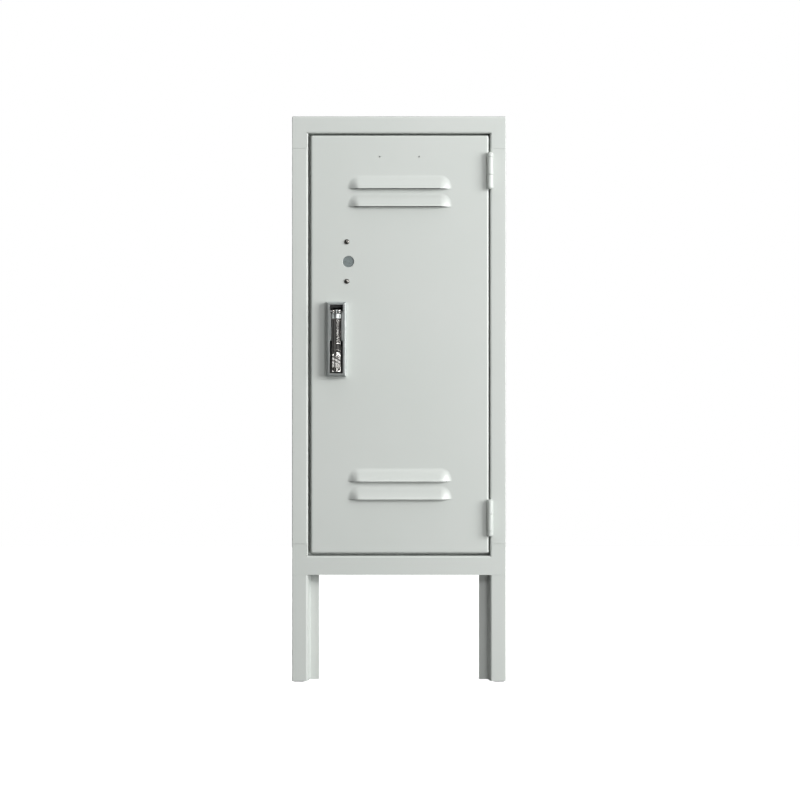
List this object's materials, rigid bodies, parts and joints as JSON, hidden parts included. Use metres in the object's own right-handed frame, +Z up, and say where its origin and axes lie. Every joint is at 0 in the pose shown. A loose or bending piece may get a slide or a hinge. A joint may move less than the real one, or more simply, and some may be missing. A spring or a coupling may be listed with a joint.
{
  "type": "locker cabinet",
  "caption": "Upright painted steel locker on legs, with an inset louvred door on barrel hinges, a lift-lever latch and a shelf inside.",
  "frame": {"origin": "centre of the bounding box's bottom face, on the floor under the legs", "axes": "+Z up, +X to the right as seen from in front of the door, -Y out of the door"},
  "size_m": [0.38, 0.42, 1.005],
  "materials": {
    "paint": "satin powder coat, pale grey-green",
    "chrome": "polished chrome plating",
    "zinc_steel": "bright zinc plated steel",
    "grey_steel": "dull grey steel sheet",
    "dark_steel": "dark nickelled steel",
    "black_plastic": "moulded, matt",
    "grey_rubber": "soft rubber, matt"
  },
  "bodies": {
    "case": {"left_side_panel": "paint", "right_side_panel": "paint", "top_cap": "paint", "bottom_base": "paint", "floor_panel": "paint", "back_panel": "paint", "shelf": "paint", "front_left_leg": "paint", "front_right_leg": "paint", "rear_left_leg": "paint", "rear_right_leg": "paint", "front_left_leg_bolt": "zinc_steel", "front_right_leg_bolt": "zinc_steel", "rear_left_leg_bolt": "zinc_steel", "rear_right_leg_bolt": "zinc_steel", "front_left_glide": "black_plastic", "front_right_glide": "black_plastic", "rear_left_glide": "black_plastic", "rear_right_glide": "black_plastic", "front_left_shelf_clip": "zinc_steel", "front_right_shelf_clip": "zinc_steel", "rear_left_shelf_clip": "zinc_steel", "rear_right_shelf_clip": "zinc_steel", "strike_plate": "zinc_steel", "upper_door_bumper": "grey_rubber", "lower_door_bumper": "grey_rubber", "upper_hinge_frame_leaf": "paint", "lower_hinge_frame_leaf": "paint", "upper_hinge_pin": "paint", "lower_hinge_pin": "paint"},
    "door": {"door_skin": "paint", "door_stiffener": "paint", "lock_blank_plate": "grey_steel", "upper_lock_fastener": "dark_steel", "lower_lock_fastener": "dark_steel", "handle_housing": "chrome", "lever_pin": "zinc_steel", "lever_spring": "zinc_steel", "latch_case": "zinc_steel", "latch_guide": "zinc_steel", "upper_handle_screw": "zinc_steel", "lower_handle_screw": "zinc_steel", "upper_hinge_door_leaf": "paint", "lower_hinge_door_leaf": "paint"},
    "lever": {"handle_lever": "chrome"},
    "bolt": {"latch_bolt": "zinc_steel"}
  },
  "joints": [
    {"name": "door_swing", "type": "hinge", "parent": "case", "child": "door", "pos_m": [0.1616, -0.19512, 0.6], "axis": [0, 0, 1], "range_deg": [0, 175]},
    {"name": "handle_lift", "type": "hinge", "parent": "door", "child": "lever", "pos_m": [-0.1109, -0.186, 0.6585], "axis": [-1, 0, 0], "range_deg": [0, 25], "stiffness_Nm_per_rad": 0.06, "springref_deg": -17.19},
    {"name": "latch_slide", "type": "slide", "parent": "door", "child": "bolt", "axis": [1, 0, 0], "range_m": [0, 0.01]}
  ],
  "couplings": [
    {"joint": "latch_slide", "follows": "handle_lift", "m_per_rad": 0.0229}
  ]
}
